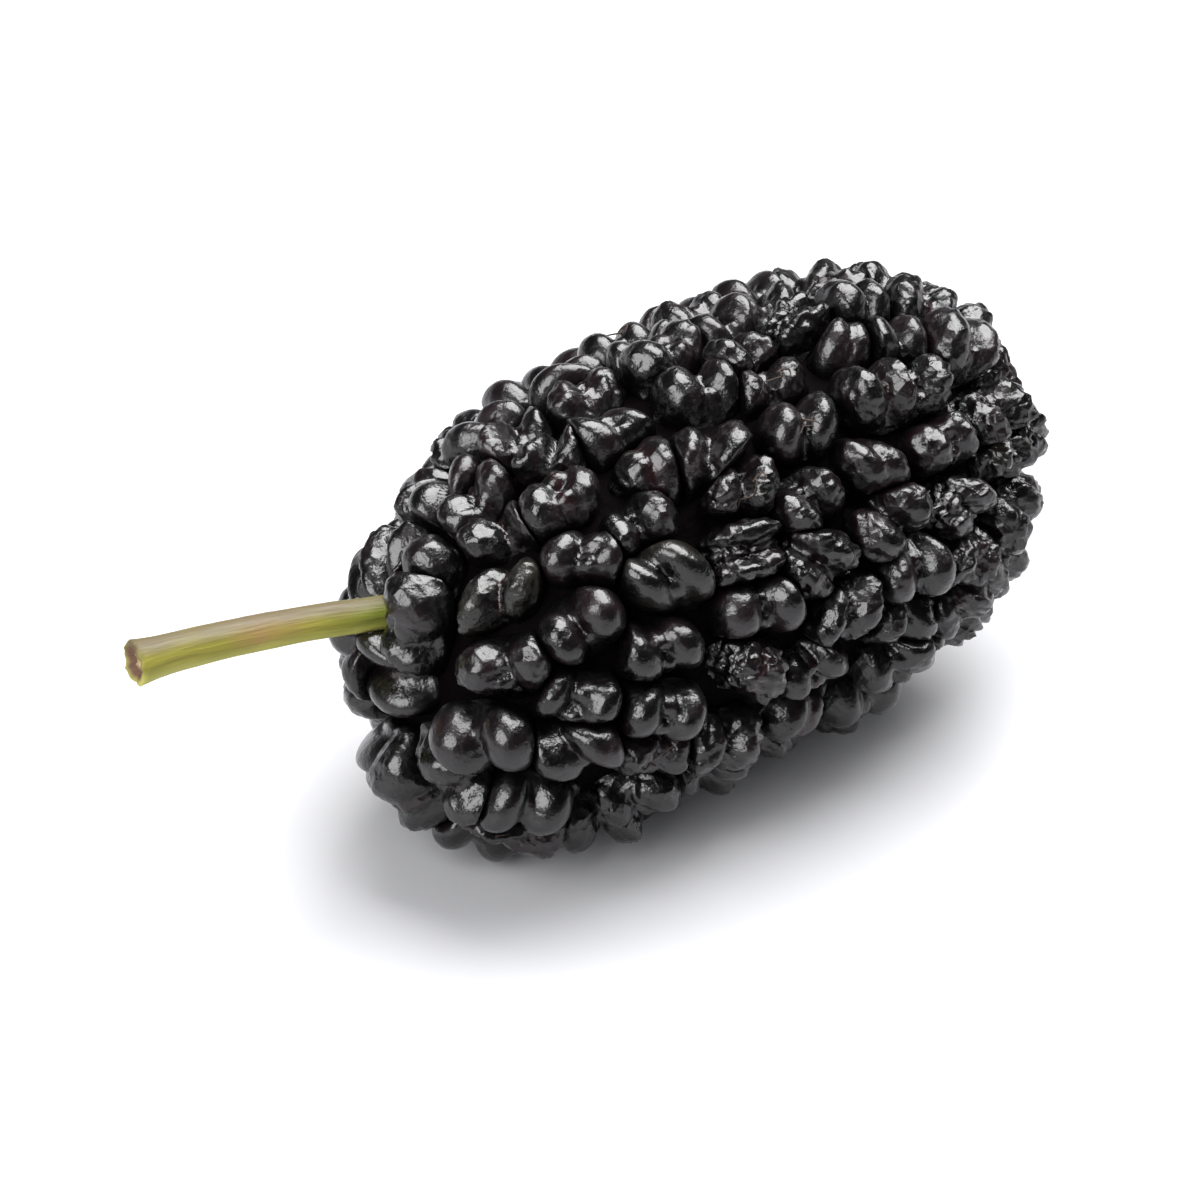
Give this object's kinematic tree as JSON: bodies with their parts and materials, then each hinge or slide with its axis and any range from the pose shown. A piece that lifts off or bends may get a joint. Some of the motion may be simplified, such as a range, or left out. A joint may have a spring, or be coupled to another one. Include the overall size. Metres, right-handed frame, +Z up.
{
  "type": "mulberry fruit with stalk",
  "caption": "Ripe mulberry as picked: a black barrel-shaped fruit of small fleshy drupelets, lying on its side, with its short green stalk.",
  "frame": {"origin": "under the middle of fruit and stalk together, on the surface that the fruit lies on", "axes": "+Z up; +X along the fruit, from its stalk to its tip"},
  "size_m": [0.0334, 0.0162, 0.0155],
  "materials": {
    "fruit": "glossy black-purple fruit skin",
    "stalk": "smooth yellow-green stalk, browned at the cut"
  },
  "bodies": {
    "root": {"fruit": "fruit", "stalk": "stalk"}
  },
  "joints": []
}
